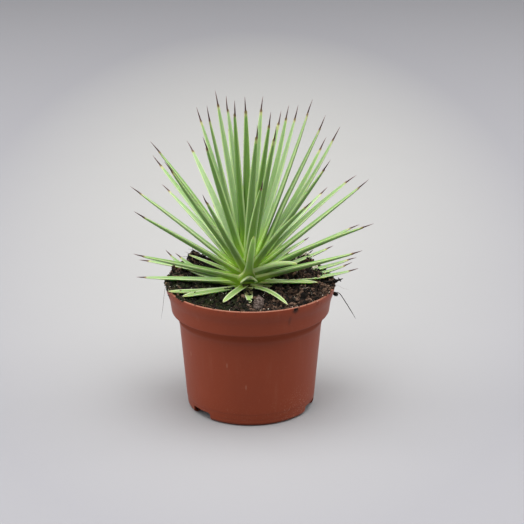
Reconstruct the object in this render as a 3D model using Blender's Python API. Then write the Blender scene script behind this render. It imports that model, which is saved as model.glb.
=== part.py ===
# Potted agave: a narrow-leaved rosette in a round plastic nursery pot filled with peat.
# Units are metres and degrees. +Z is up, the front is -Y, and the origin is on the
# floor at the middle of the pot.

import math

import bmesh
import bpy
from mathutils import Vector, noise

# Pot
POT_HEIGHT = 0.080
LIP_RADIUS = 0.0525
LIP_START = 0.0700
BAND_TOP_RADIUS = 0.0501
BAND_FOOT_RADIUS = 0.0493
BAND_FOOT = 0.0634
BODY_TOP_RADIUS = 0.0446
BODY_TOP = 0.0564
BODY_FOOT_RADIUS = 0.0400
FOOT_CORNER = 0.0028
FOOT_RING_WIDTH = 0.0040
WALL = 0.0010
BASE_LIFT = 0.0046
POT_SIDES = 52
NOTCH_TURNS = (-52, 68, 188)
NOTCH_WIDTH = 0.0140
NOTCH_HEIGHT = 0.0050
NOTCH_DEPTH = 0.0088
DRAIN_RADIUS = 0.0034
DRAIN_RING = 0.0200
DRAIN_COUNT = 6

# Peat
GAP = 0.0003
SOIL_LEVEL = 0.0764
SOIL_BACK_RISE = 0.0034
SOIL_SIDE_RISE = 0.0024
SOIL_SIDES = 60
SOIL_RINGS = 13
SOIL_WALL_TOP = 0.0735
CLUMP_RELIEF = 0.0014
CLUMP_SIZE = 0.0075
LEAF_CLEARANCE = 0.0008
LEAF_TROUGH = 0.0030
TROUGH_SLOPE = 1.2
LOW_LEAN = 60
# Heaps of loose peat: across, back, radius, height over what is round them.
HEAPS = (
    (-0.046, 0.013, 0.008, 0.0048),
    (-0.036, 0.033, 0.008, 0.0066),
    (0.019, 0.043, 0.006, 0.0062),
    (0.034, 0.033, 0.009, 0.0056),
    (0.045, 0.013, 0.008, 0.0030),
    (0.026, -0.022, 0.012, 0.0016),
)

# Stem
STEM_X = -0.0021
STEM_RADIUS = 0.0054
STEM_BOTTOM = 0.0665
STEM_SIDES = 12
# Share of the stem's radius and height, from its blunt foot to the heart of the rosette.
STEM_PROFILE = (
    (0.00, STEM_BOTTOM),
    (0.55, 0.0671),
    (1.00, 0.0705),
    (1.00, 0.0785),
    (1.06, 0.0840),
    (0.96, 0.0900),
    (0.62, 0.0970),
    (0.00, 0.1000),
)
ROOT_INNER = 0.0020
ROOT_SPREAD = 0.0030
ROOT_TOP = 0.0945
ROOT_FALL = 0.0140

# Leaf, where across is measured over the flat and the body is a flattened diamond
LEAF_LENGTH = 0.106
LEAF_LENGTH_LOSS = 0.040
LEAF_WIDTH = 0.0052
LEAF_BASE_WIDTH = 0.0088
LEAF_DEPTH_RATIO = 0.46
SPINE_START = 0.915
SPINE_WIDTH = 0.0013
SPINE_TIP_WIDTH = 0.0006
# Stations along a spined leaf and its width there against LEAF_WIDTH.
LEAF_SHAPE = (
    (0.00, LEAF_BASE_WIDTH / LEAF_WIDTH),
    (0.08, 1.28),
    (0.20, 1.08),
    (0.50, 0.88),
    (0.74, 0.61),
    (SPINE_START, SPINE_WIDTH / LEAF_WIDTH),
    (1.00, SPINE_TIP_WIDTH / LEAF_WIDTH),
)
# The same for a young leaf, which ends round and without a spine.
YOUNG_SHAPE = (
    (0.00, 1.25),
    (0.15, 0.95),
    (0.45, 1.00),
    (0.75, 0.92),
    (0.92, 0.62),
    (1.00, 0.22),
)

# Leaves as the front shows them: turn round the stem from the front towards +X,
# lean from upright, length against the usual for that lean, and bend along it.
UPRIGHT_LEAVES = (
    (-134, 13, 1.03, 1),
    (-155, 16, 1.00, 3),
    (-29, 7, 1.00, 3),
    (-3, 4, 1.00, 3),
    (163, 17, 1.00, 4),
    (-132, 23, 1.00, 6),
    (-67, 13, 1.00, 1),
    (32, 14, 1.00, -1),
    (154, 28, 1.00, 4),
    (133, 19, 0.98, -8),
    (122, 20, 1.00, -3),
    (98, 20, 1.07, -4),
    (97, 26, 1.04, -2),
    (11, 19, 1.00, 1),
    (30, 19, 0.98, -8),
    (-33, 25, 1.00, 3),
)
SLOPING_LEAVES = (
    (124, 37, 0.98, -12),
    (104, 33, 1.05, -12),
    (56, 36, 1.00, 0),
    (112, 52, 1.00, 8),
    (88, 50, 1.03, 1),
    (138, 62, 1.00, 12),
    (33, 47, 1.00, 11),
    (71, 62, 1.04, 12),
    (9, 39, 1.00, 7),
    (-145, 43, 1.00, 5),
    (-86, 34, 1.01, 9),
    (-121, 46, 1.00, 0),
    (-52, 36, 1.00, -2),
    (-134, 60, 1.00, 8),
    (-98, 53, 0.98, 6),
    (-62, 55, 1.00, 2),
    (-21, 44, 1.00, -6),
)
LOW_LEAVES = (
    (148.5, 74.5, 0.98, 5),
    (114, 72, 1.00, 3),
    (147, 84, 1.00, 4),
    (131, 85, 1.00, -2),
    (62, 69, 1.00, -1),
    (108, 84, 0.98, -14),
    (104, 85, 0.93, -24),
    (97, 86, 0.96, -18),
    (-160, 66, 0.88, 4),
    (-62, 70, 0.97, 2),
    (-110, 86, 1.00, 6),
    (-90, 88, 0.95, 4),
    (-113, 78, 0.75, -60),
    (-119, 80, 0.69, -54),
)
# Short young leaves low on the stem: turn, lean, length, width and bend.
YOUNG_LEAVES = (
    (-110, 74, 0.036, 0.0046, 4),
    (6, 45, 0.050, 0.0052, 6),
    (74, 72, 0.035, 0.0066, 34),
    (20, 72, 0.017, 0.0078, 40),
    (94, 87, 0.045, 0.0050, 2),
    (86, 88, 0.039, 0.0054, 8),
    (-64, 86, 0.048, 0.0050, 2),
    (-56, 89, 0.042, 0.0058, 4),
    (-25, 90, 0.031, 0.0052, 8),
    (33, 90, 0.042, 0.0042, 30),
    (3, 92, 0.024, 0.0046, 6),
)
YOUNG_DROP = 0.0022
# Leaves that those in front of them hide.
REAR_LEAVES = (
    (194, 30, 0.97, 10),
    (172, 36, 0.97, 4),
    (181, 44, 0.95, 4),
    (163, 50, 0.93, 4),
    (182, 57, 0.84, 4),
    (192, 64, 0.84, 4),
    (168, 70, 0.83, 4),
    (184, 77, 0.83, 4),
    (170, 84, 0.87, 2),
    (196, 84, 0.89, 2),
)

# Bark chip on the peat
CHIP_PLACE = (0.0052, -0.0345)
CHIP_SIZE = (0.0074, 0.0062, 0.0062)
CHIP_TURN = 62
CHIP_BEVEL = 0.16
CHIP_END_TAPER = 0.30
CHIP_TOP_TAPER = 0.18
# The peat is flat to the first of these distances from the chip, free from the second.
CHIP_PATCH = (0.0052, 0.0083)

COLOURS = {
    "pot": ((0.196, 0.056, 0.028), 0.42),
    "peat": ((0.022, 0.014, 0.010), 0.95),
    "leaf": ((0.145, 0.270, 0.060), 0.45),
    "bark": ((0.160, 0.095, 0.070), 0.85),
}


def clear_scene():
    for item in list(bpy.context.scene.objects):
        bpy.data.objects.remove(item, do_unlink=True)


def material(name):
    colour, roughness = COLOURS[name]
    made = bpy.data.materials.new(name)
    made.use_nodes = True
    shader = made.node_tree.nodes["Principled BSDF"]
    shader.inputs["Base Color"].default_value = (*colour, 1.0)
    shader.inputs["Roughness"].default_value = roughness
    shader.inputs["Metallic"].default_value = 0.0
    return made


def mesh_object(bm, name, collection=None):
    bmesh.ops.recalc_face_normals(bm, faces=bm.faces)
    mesh = bpy.data.meshes.new(name)
    bm.to_mesh(mesh)
    bm.free()
    made = bpy.data.objects.new(name, mesh)
    (collection or bpy.context.scene.collection).objects.link(made)
    return made


def smooth(made, angle):
    made.data.shade_smooth()
    made.data.set_sharp_from_angle(angle=math.radians(angle))


def turned(profile, sides):
    # Spins an outline of (radius, height) points round Z into one closed shell.
    bm = bmesh.new()
    points = [bm.verts.new((radius, 0, height)) for radius, height in profile]
    edges = [bm.edges.new(pair) for pair in zip(points, points[1:])]
    if profile[0][0] > 0:
        edges.append(bm.edges.new((points[-1], points[0])))
    bmesh.ops.spin(
        bm, geom=points + edges, axis=(0, 0, 1), cent=(0, 0, 0),
        steps=sides, angle=math.tau, use_merge=True,
    )
    bmesh.ops.remove_doubles(bm, verts=bm.verts, dist=1e-6)
    return bm


def arc(centre, radius, start, end, steps):
    # Points of a round stretch, from one angle to another in degrees.
    points = []
    for step in range(steps + 1):
        angle = math.radians(start + (end - start) * step / steps)
        points.append((centre[0] + radius * math.cos(angle), centre[1] + radius * math.sin(angle)))
    return points


def ease(low, high, steps):
    # An S curve between two points of a profile, upright at both ends.
    points = []
    for step in range(1, steps):
        share = step / steps
        bulge = share * share * (3 - 2 * share)
        points.append((low[0] + (high[0] - low[0]) * bulge, low[1] + (high[1] - low[1]) * share))
    return points


def pot_wall(inset):
    # The pot's side from the foot corner to the lip, moved in by inset.
    foot = (BODY_FOOT_RADIUS - inset, FOOT_CORNER)
    body = (BODY_TOP_RADIUS - inset, BODY_TOP)
    band_foot = (BAND_FOOT_RADIUS - inset, BAND_FOOT)
    band_top = (BAND_TOP_RADIUS - inset, LIP_START)
    lip = (LIP_RADIUS - inset, POT_HEIGHT - WALL / 2)
    return [foot, body, *ease(body, band_foot, 4), band_foot, band_top, *ease(band_top, lip, 4), lip]


def pot_profile():
    corner = (BODY_FOOT_RADIUS - FOOT_CORNER, FOOT_CORNER)
    ring_in = corner[0] - FOOT_RING_WIDTH
    base_edge = ring_in - WALL
    inner_corner = FOOT_CORNER - WALL
    outside = arc(corner, FOOT_CORNER, -90, -20, 3) + pot_wall(0)
    lip_round = arc((LIP_RADIUS - WALL / 2, POT_HEIGHT - WALL / 2), WALL / 2, 45, 135, 2)
    inside = pot_wall(WALL)[::-1] + arc(corner, inner_corner, -20, -90, 3)
    channel = [(ring_in + WALL, WALL), (ring_in, BASE_LIFT + WALL)]
    plate = [(DRAIN_RADIUS, BASE_LIFT + WALL), (DRAIN_RADIUS, BASE_LIFT)]
    under = [(base_edge, BASE_LIFT), (ring_in, 0.0)]
    return outside + lip_round + inside + channel + plate + under


def turned_to(radius, turn):
    # A place at this radius and turn from the front towards +X.
    angle = math.radians(turn)
    return Vector((radius * math.sin(angle), -radius * math.cos(angle), 0))


def notch_cutters(collection):
    for number, turn in enumerate(NOTCH_TURNS):
        bm = bmesh.new()
        bmesh.ops.create_cube(bm, size=1)
        bmesh.ops.scale(bm, verts=bm.verts, vec=(NOTCH_WIDTH, NOTCH_DEPTH * 2, NOTCH_HEIGHT * 2))
        cutter = mesh_object(bm, f"notch_{number}", collection)
        cutter.location = turned_to(BODY_FOOT_RADIUS, turn)
        cutter.rotation_euler.z = math.radians(turn)


def drain_cutters(collection):
    for number in range(DRAIN_COUNT):
        bm = bmesh.new()
        bmesh.ops.create_cone(
            bm, cap_ends=True, segments=16, radius1=DRAIN_RADIUS, radius2=DRAIN_RADIUS,
            depth=4 * WALL,
        )
        cutter = mesh_object(bm, f"drain_{number}", collection)
        cutter.location = turned_to(DRAIN_RING, number * 360 / DRAIN_COUNT)
        cutter.location.z = BASE_LIFT + WALL / 2


def make_pot():
    pot = mesh_object(turned(pot_profile(), POT_SIDES), "pot")
    cutters = bpy.data.collections.new("pot_cutters")
    bpy.context.scene.collection.children.link(cutters)
    notch_cutters(cutters)
    drain_cutters(cutters)
    for cutter in cutters.objects:
        cutter.hide_render = True
        cutter.display_type = "WIRE"
    cut = pot.modifiers.new("foot", "BOOLEAN")
    cut.operation = "DIFFERENCE"
    cut.operand_type = "COLLECTION"
    cut.collection = cutters
    smooth(pot, 35)
    pot.data.materials.append(material("pot"))


def leaf_root(turn, lean):
    # Low leaves start low and wide on the stem, upright ones high and near its axis.
    share = min(lean / 90, 1)
    root = turned_to(ROOT_INNER + ROOT_SPREAD * share, turn)
    return root + Vector((STEM_X, 0, ROOT_TOP - ROOT_FALL * share ** 1.2))


def leaf_line(turn, lean, length, bend, shape, drop=0):
    # Centre points and lean along a leaf, which bends evenly about its mean lean.
    finest = 24
    outward = turned_to(1, turn)
    place = leaf_root(turn, lean) - Vector((0, 0, drop))
    places = [place]
    for step in range(finest):
        tilt = math.radians(lean + bend * ((step + 0.5) / finest - 0.5))
        place = place + (outward * math.sin(tilt) + Vector((0, 0, math.cos(tilt)))) * (length / finest)
        places.append(place)
    line = []
    for station, _ in shape:
        spot = station * finest
        low = min(int(spot), finest - 1)
        centre = places[low].lerp(places[low + 1], spot - low)
        line.append((centre, math.radians(lean + bend * (station - 0.5))))
    return outward, line


def leaf_mesh(turn, lean, length, width, bend, shape, drop=0):
    # A diamond section swept along the leaf: two thin edges and a keel on each face.
    outward, line = leaf_line(turn, lean, length, bend, shape, drop)
    across = Vector((-outward.y, outward.x, 0))
    bm = bmesh.new()
    rings = []
    for (centre, tilt), (_, share) in zip(line, shape):
        upper = Vector((0, 0, math.sin(tilt))) - outward * math.cos(tilt)
        half = width * share / 2
        deep = max(half * LEAF_DEPTH_RATIO, SPINE_TIP_WIDTH / 2)
        corners = (across * half, upper * deep, -across * half, -upper * deep)
        rings.append([bm.verts.new(centre + corner) for corner in corners])
    for low, high in zip(rings, rings[1:]):
        for side in range(4):
            after = (side + 1) % 4
            bm.faces.new((low[side], low[after], high[after], high[side]))
    bm.faces.new(rings[0][::-1])
    bm.faces.new(rings[-1])
    bmesh.ops.triangulate(bm, faces=bm.faces)
    return bm


def usual_length(lean):
    return LEAF_LENGTH - LEAF_LENGTH_LOSS * (min(lean, 90) / 90) ** 1.5


def young_drop(lean):
    # A young leaf that lies down starts at the peat, under the other leaves.
    return YOUNG_DROP if lean > 80 else 0


def spined_leaves():
    return UPRIGHT_LEAVES + SLOPING_LEAVES + LOW_LEAVES + REAR_LEAVES


def make_stem():
    bm = turned([(STEM_RADIUS * share, height) for share, height in STEM_PROFILE], STEM_SIDES)
    bmesh.ops.translate(bm, verts=bm.verts, vec=(STEM_X, 0, 0))
    return mesh_object(bm, "rosette")


def make_rosette():
    stem = make_stem()
    leaves = bpy.data.collections.new("leaves")
    bpy.context.scene.collection.children.link(leaves)
    for number, (turn, lean, scale, bend) in enumerate(spined_leaves()):
        bm = leaf_mesh(turn, lean, usual_length(lean) * scale, LEAF_WIDTH, bend, LEAF_SHAPE)
        mesh_object(bm, f"leaf_{number}", leaves)
    for number, (turn, lean, length, width, bend) in enumerate(YOUNG_LEAVES):
        bm = leaf_mesh(turn, lean, length, width, bend, YOUNG_SHAPE, young_drop(lean))
        mesh_object(bm, f"young_leaf_{number}", leaves)
    join = stem.modifiers.new("grown together", "BOOLEAN")
    join.operation = "UNION"
    join.operand_type = "COLLECTION"
    join.collection = leaves
    join.solver = "MANIFOLD"
    joined = bpy.data.meshes.new_from_object(stem.evaluated_get(bpy.context.evaluated_depsgraph_get()))
    stem.modifiers.clear()
    stem.data = joined
    for leaf in list(leaves.objects):
        bpy.data.objects.remove(leaf, do_unlink=True)
    bpy.data.collections.remove(leaves)
    smooth(stem, 25)
    stem.data.materials.clear()
    stem.data.materials.append(material("leaf"))


def leaf_undersides():
    # Where leaves pass low over the peat: place, half width and height of the underside.
    spots = []
    low_leaves = []
    for turn, lean, scale, bend in spined_leaves():
        low_leaves.append((turn, lean, usual_length(lean) * scale, LEAF_WIDTH, bend, 0))
    for turn, lean, length, width, bend in YOUNG_LEAVES:
        low_leaves.append((turn, lean, length, width, bend, young_drop(lean)))
    stations = tuple((step / 30, 1) for step in range(31))
    for turn, lean, length, width, bend, drop in low_leaves:
        if lean < LOW_LEAN:
            continue
        _, line = leaf_line(turn, lean, length, bend, stations, drop)
        for centre, _ in line:
            spots.append((centre, width / 2, centre.z - width * LEAF_DEPTH_RATIO / 2))
    return spots


def eased(value, low, high):
    # 0 below low, 1 above high and smooth between.
    share = min(max((value - low) / (high - low), 0), 1)
    return share * share * (3 - 2 * share)


def soil_height(x, y, spots):
    # Low in front, up to the rim at the sides and heaped behind, pressed down under leaves.
    height = SOIL_LEVEL + SOIL_BACK_RISE * eased(y, -0.034, 0.036)
    height += SOIL_SIDE_RISE * (abs(x) / LIP_RADIUS) ** 3
    for across, back, radius, rise in HEAPS:
        height += rise * math.exp(-((x - across) ** 2 + (y - back) ** 2) / radius ** 2)
    height += CLUMP_RELIEF * noise.fractal(Vector((x, y, 0)) / CLUMP_SIZE, 0.9, 2.0, 2)
    chip = math.hypot(x - CHIP_PLACE[0], y - CHIP_PLACE[1])
    height = SOIL_LEVEL + (height - SOIL_LEVEL) * eased(chip, *CHIP_PATCH)
    for centre, half, underside in spots:
        away = math.hypot(x - centre.x, y - centre.y) - half - LEAF_TROUGH
        height = min(height, underside - LEAF_CLEARANCE + max(away, 0) * TROUGH_SLOPE)
    return height


def soil_edge(height):
    # The peat's reach at this height, a gap inside the pot's wall.
    wall = pot_wall(WALL + GAP)
    for low, high in zip(wall, wall[1:]):
        if low[1] <= height <= high[1]:
            return low[0] + (high[0] - low[0]) * (height - low[1]) / (high[1] - low[1])
    return wall[-1][0]


def make_soil():
    hole = STEM_RADIUS + GAP
    hole_floor = STEM_BOTTOM - GAP
    top = [(hole + (LIP_RADIUS - hole) * ring / SOIL_RINGS, POT_HEIGHT) for ring in range(SOIL_RINGS + 1)]
    floor = BASE_LIFT + WALL + GAP
    wall = [point for point in pot_wall(WALL + GAP) if floor < point[1] < SOIL_WALL_TOP]
    side = [*reversed(wall), (soil_edge(floor), floor), (0, floor)]
    bm = turned([(0, hole_floor), (hole, hole_floor), *top, *side], SOIL_SIDES)
    spots = leaf_undersides()
    for point in bm.verts:
        reach = math.hypot(point.co.x, point.co.y)
        if point.co.z > POT_HEIGHT - 1e-5:
            height = soil_height(point.co.x, point.co.y, spots)
            inward = soil_edge(height) / LIP_RADIUS if reach > LIP_RADIUS - 1e-5 else 1
            point.co = (point.co.x * inward, point.co.y * inward, height)
        if reach < hole + 1e-5:
            point.co.x += STEM_X
    soil = mesh_object(bm, "soil")
    smooth(soil, 50)
    soil.data.materials.append(material("peat"))


def make_chip():
    bm = bmesh.new()
    bmesh.ops.create_cube(bm, size=1)
    bmesh.ops.bevel(bm, geom=bm.edges[:], offset=CHIP_BEVEL, segments=1, affect="EDGES")
    for point in bm.verts:
        end_taper = CHIP_END_TAPER * (point.co.x + 0.5)
        point.co.y *= 1 - end_taper - CHIP_TOP_TAPER * (point.co.z + 0.5)
        point.co.z *= 1 - end_taper
    bmesh.ops.scale(bm, verts=bm.verts, vec=CHIP_SIZE)
    chip = mesh_object(bm, "bark_chip")
    lowest = min(point.co.z for point in chip.data.vertices)
    chip.location = (*CHIP_PLACE, SOIL_LEVEL + GAP - lowest)
    chip.rotation_euler.z = math.radians(CHIP_TURN)
    smooth(chip, 30)
    chip.data.materials.append(material("bark"))


clear_scene()
make_pot()
make_soil()
make_rosette()
make_chip()
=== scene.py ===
# Looks for the potted agave: fine leaves with spines, a thin moulded pot, loose peat and
# a bark chip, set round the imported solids. Lengths are metres, turns are degrees from the
# front (-Y) towards +X, leans are degrees from upright.

import math
import random

import bmesh
import bpy
import numpy as np
from mathutils import Matrix, Vector, noise
from mathutils.bvhtree import BVHTree


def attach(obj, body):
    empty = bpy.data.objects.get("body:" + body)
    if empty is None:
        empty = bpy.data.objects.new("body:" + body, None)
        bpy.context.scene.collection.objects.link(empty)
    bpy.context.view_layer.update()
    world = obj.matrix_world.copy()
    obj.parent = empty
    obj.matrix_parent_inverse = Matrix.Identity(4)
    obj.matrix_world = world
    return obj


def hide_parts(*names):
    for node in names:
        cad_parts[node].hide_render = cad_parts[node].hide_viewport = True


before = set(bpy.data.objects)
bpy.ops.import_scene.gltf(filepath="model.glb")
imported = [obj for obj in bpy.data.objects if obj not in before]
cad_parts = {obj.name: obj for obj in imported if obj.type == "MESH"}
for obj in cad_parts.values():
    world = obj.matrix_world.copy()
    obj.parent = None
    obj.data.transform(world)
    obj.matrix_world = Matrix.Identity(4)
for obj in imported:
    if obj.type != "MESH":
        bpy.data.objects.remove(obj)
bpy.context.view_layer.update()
mm = 0.001


# Shader maths: a wire is a socket whose sums read as plain expressions.

class Wire:
    def __init__(self, finish, socket):
        self.finish = finish
        self.socket = socket

    def __add__(self, other):
        return self.finish.maths("ADD", self, other)

    def __radd__(self, other):
        return self.finish.maths("ADD", other, self)

    def __sub__(self, other):
        return self.finish.maths("SUBTRACT", self, other)

    def __rsub__(self, other):
        return self.finish.maths("SUBTRACT", other, self)

    def __mul__(self, other):
        return self.finish.maths("MULTIPLY", self, other)

    def __rmul__(self, other):
        return self.finish.maths("MULTIPLY", other, self)


class Finish:
    def __init__(self, name, roughness=0.5, **constants):
        self.material = bpy.data.materials.new(name)
        self.material.use_nodes = True
        self.tree = self.material.node_tree
        self.shader = self.tree.nodes["Principled BSDF"]
        self.colour = None
        self.set(Roughness=roughness, **constants)

    def set(self, **sockets):
        for name, value in sockets.items():
            self.feed(self.shader.inputs[name.replace("_", " ")], value)
        return self.material

    def feed(self, socket, value):
        if isinstance(value, Wire):
            self.tree.links.new(value.socket, socket)
        else:
            socket.default_value = value

    def node(self, kind, settings=None, sockets=None, output=0):
        # Any node, as the wire of one of its outputs.
        made = self.tree.nodes.new("ShaderNode" + kind)
        for name, value in (settings or {}).items():
            if name == "stops":
                self.setStops(made.color_ramp, value)
            else:
                setattr(made, name, value)
        for name, value in (sockets or {}).items():
            self.feed(made.inputs[name], value)
        return Wire(self, made.outputs[output])

    def setStops(self, ramp, stops):
        while len(ramp.elements) < len(stops):
            ramp.elements.new(1)
        for element, (place, colour) in zip(ramp.elements, stops):
            element.position = place
            element.color = (*colour, 1)

    def maths(self, operation, *values):
        return self.node("Math", {"operation": operation}, dict(enumerate(values)))

    def mix(self, amount, low, high):
        # Colours here are (r, g, b) or wires.
        low, high = [value if isinstance(value, Wire) else (*value, 1) for value in (low, high)]
        return self.node("Mix", {"data_type": "RGBA"}, {0: amount, 6: low, 7: high}, 2)

    def coat(self, amount, colour):
        # Lays a colour over what the surface has so far.
        self.colour = self.mix(amount, self.colour, colour)

    def step(self, value, low, high):
        # 0 at low, 1 at high, eased between; low may be the larger.
        sockets = {"Value": value, "From Min": low, "From Max": high}
        return self.node("MapRange", {"interpolation_type": "SMOOTHSTEP"}, sockets)

    def ramp(self, value, stops):
        return self.node("ValToRGB", {"stops": stops}, {"Fac": value})

    def mark(self, name):
        # A number that the mesh carries at each point.
        return self.node("Attribute", {"attribute_name": name}, output="Fac")

    def place(self):
        # Where the surface is, in millimetres.
        spot = self.node("TexCoord", output="Object")
        return self.node("VectorMath", {"operation": "SCALE"}, {0: spot, "Scale": 1000})

    def join(self, x, y, z):
        return self.node("CombineXYZ", None, {0: x, 1: y, 2: z})

    def split(self, vector):
        made = self.node("SeparateXYZ", None, {0: vector}).socket.node
        return [Wire(self, socket) for socket in made.outputs]

    def stretch(self, vector, scale):
        return self.node("VectorMath", {"operation": "MULTIPLY"}, {0: vector, 1: scale})

    def away(self, vector, point):
        # Distance from a point, in the vector's own unit.
        return self.node("VectorMath", {"operation": "DISTANCE"}, {0: vector, 1: point}, "Value")

    def grain(self, vector, size, detail=2, roughness=0.5):
        # Soft noise whose lumps are about this size in the vector's unit.
        sockets = {"Vector": vector, "Scale": 1 / size, "Detail": detail, "Roughness": roughness}
        return self.node("TexNoise", None, sockets)

    def cells(self, vector, size):
        # Distance to the nearest of scattered points, about this size apart.
        return self.node("TexVoronoi", None, {"Vector": vector, "Scale": 1 / size})

    def bump(self, height, depth, below=None):
        # Relief of this depth in metres; below is the bump under it.
        sockets = {"Height": height, "Distance": depth}
        if below:
            sockets["Normal"] = below
        return self.node("Bump", None, sockets)


# Mesh helpers

class Bundle:
    # Gathers small shapes into the mesh of one piece.
    def __init__(self):
        self.points = []
        self.faces = []
        self.marks = {}
        self.count = 0

    def add(self, points, faces, **marks):
        self.points.append(np.asarray(points, float))
        self.faces.extend([[corner + self.count for corner in face] for face in faces])
        for name, values in marks.items():
            self.marks.setdefault(name, []).append(np.broadcast_to(values, len(points)))
        self.count += len(points)

    def piece(self, name, finish, slot, sharp=None):
        mesh = bpy.data.meshes.new(name)
        mesh.from_pydata(np.concatenate(self.points).tolist(), [], self.faces)
        for mark, values in self.marks.items():
            layer = mesh.attributes.new(mark, "FLOAT", "POINT")
            layer.data.foreach_set("value", np.concatenate(values).astype(np.float32))
        return addPiece(name, mesh, finish, sharp)


def placed(name, data):
    made = bpy.data.objects.new(name, data)
    bpy.context.scene.collection.objects.link(made)
    return made


def meshOf(bm, name):
    mesh = bpy.data.meshes.new(name)
    bm.to_mesh(mesh)
    bm.free()
    return mesh


def tell(*pieces):
    for piece in pieces:
        print(piece.name + ":", len(piece.data.polygons), "faces")


def addPiece(name, mesh, finish, sharp=None):
    mesh.shade_smooth()
    if sharp:
        mesh.set_sharp_from_angle(angle=math.radians(sharp))
    mesh.materials.append(finish)
    piece = placed(name, mesh)
    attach(piece, "root")
    return piece


def tubeFaces(rings, sides):
    faces = []
    for ring in range(rings - 1):
        for side in range(sides):
            after = (side + 1) % sides
            low, high = ring * sides, (ring + 1) * sides
            faces.append((low + side, low + after, high + after, high + side))
    faces.append(tuple(reversed(range(sides))))
    faces.append(tuple(range((rings - 1) * sides, rings * sides)))
    return faces


def tubePoints(centre, first, second, radii, sides):
    # Rings of points round a line; first and second are the ring's own axes.
    angles = np.arange(sides) * math.tau / sides
    ring = first[:, None] * np.cos(angles)[None, :, None] + second[:, None] * np.sin(angles)[None, :, None]
    return (centre[:, None] + ring * radii[:, None, None]).reshape(-1, 3)


def applyModifiers(piece):
    # Turns a piece's modifiers into plain mesh, which keeps the piece's own finish alone.
    finish = piece.data.materials[0]
    piece.data = bpy.data.meshes.new_from_object(piece.evaluated_get(bpy.context.evaluated_depsgraph_get()))
    piece.modifiers.clear()
    piece.data.materials.clear()
    piece.data.materials.append(finish)


def toward(turn):
    angle = math.radians(turn)
    return np.array([math.sin(angle), -math.cos(angle), 0.0])


def eased(value, low, high):
    share = np.clip((np.asarray(value, float) - low) / (high - low), 0, 1)
    return share * share * (3 - 2 * share)


def within(x, y, room):
    # The same place, drawn in to this distance from the pot's axis where it is farther out.
    reach = math.hypot(x, y)
    return (x * room / reach, y * room / reach) if reach > room else (x, y)


def shaded(colour, amount):
    return tuple(amount * part for part in colour)


up = np.array([0.0, 0.0, 1.0])


# Camera, floor and light

studio = {
    "cameraPlace": (0.0072, -0.8776, 0.3960),
    "cameraTilt": 70.96,
    "lens": 103.05,
    "sensor": 36,
    "farthest": 50,
    "floorRadius": 9.0,
    "floorSides": 96,
    "floorColour": (0.346, 0.343, 0.336),
    "floorShadeColour": (0.252, 0.250, 0.268),
    # Soft clouds in the paper: their size in millimetres and how dark they make it.
    "cloudSize": 90,
    "cloudShade": 0.96,
    # Painted light on the floor: brightest this many millimetres behind the pot, with painted shade growing
    # across and back from there.
    "lightPoolBack": 557.0,
    "lightFalloff": (263.0, 752.0),
    "worldColour": (0.93, 0.95, 1.0),
    "worldStrength": 0.15,
    # name: place, size, watts, warmth
    "lights": {
        "top": ((0.0, -0.15, 2.2), (3.0, 2.6), 127.0, (1.0, 0.995, 0.98)),
        "left": ((-2.1, 0.1, 0.9), (1.6, 1.5), 24.0, (1.0, 0.99, 0.98)),
        "right": ((2.1, 0.2, 0.9), (1.6, 1.5), 22.0, (1.0, 0.99, 0.98)),
        "front": ((-1.3, -1.9, 1.2), (0.9, 0.9), 8.0, (1.0, 0.99, 0.98)),
    },
    "lightAim": (0, 0, 0.08),
}


def makeStudio():
    scene = bpy.context.scene
    scene.view_settings.view_transform = "Standard"
    camera = placed("camera", bpy.data.cameras.new("camera"))
    camera.data.lens = studio["lens"]
    camera.data.sensor_width = studio["sensor"]
    camera.data.clip_end = studio["farthest"]
    camera.location = studio["cameraPlace"]
    camera.rotation_euler = (math.radians(studio["cameraTilt"]), 0, 0)
    scene.camera = camera
    world = bpy.data.worlds.new("studio")
    world.use_nodes = True
    background = world.node_tree.nodes["Background"]
    background.inputs["Color"].default_value = (*studio["worldColour"], 1)
    background.inputs["Strength"].default_value = studio["worldStrength"]
    scene.world = world
    for name, (place, size, watts, colour) in studio["lights"].items():
        lamp = bpy.data.lights.new(name, "AREA")
        lamp.shape = "RECTANGLE"
        lamp.size, lamp.size_y = size
        lamp.energy = watts
        lamp.color = colour
        stand = placed(name, lamp)
        stand.location = place
        aim = Vector(studio["lightAim"]) - Vector(place)
        stand.rotation_euler = aim.to_track_quat("-Z", "Y").to_euler()
    bm = bmesh.new()
    bmesh.ops.create_circle(bm, cap_ends=True, segments=studio["floorSides"], radius=studio["floorRadius"])
    floor = placed("floor", meshOf(bm, "floor"))
    floor.data.materials.append(floorFinish())
    print("studio: camera, floor and", len(studio["lights"]), "lights")


def floorFinish():
    finish = Finish("floor paper", roughness=0.75)
    spot = finish.place()
    cloud = finish.grain(spot, studio["cloudSize"], 3)
    colour = finish.mix(cloud, studio["floorColour"], shaded(studio["floorColour"], studio["cloudShade"]))
    x, y, _ = finish.split(spot)
    across, back = x * (1 / studio["lightFalloff"][0]), (y - studio["lightPoolBack"]) * (1 / studio["lightFalloff"][1])
    # Painted shade away from the brightest spot, in the floor's shade colour.
    paintedFalloffShade = finish.maths("MINIMUM", across * across + back * back, 1.0)
    return finish.set(Base_Color=finish.mix(paintedFalloffShade, colour, studio["floorShadeColour"]))


# Pot: a thin turned shape with a flared lip, a band, a tapered body and a notched foot

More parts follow.
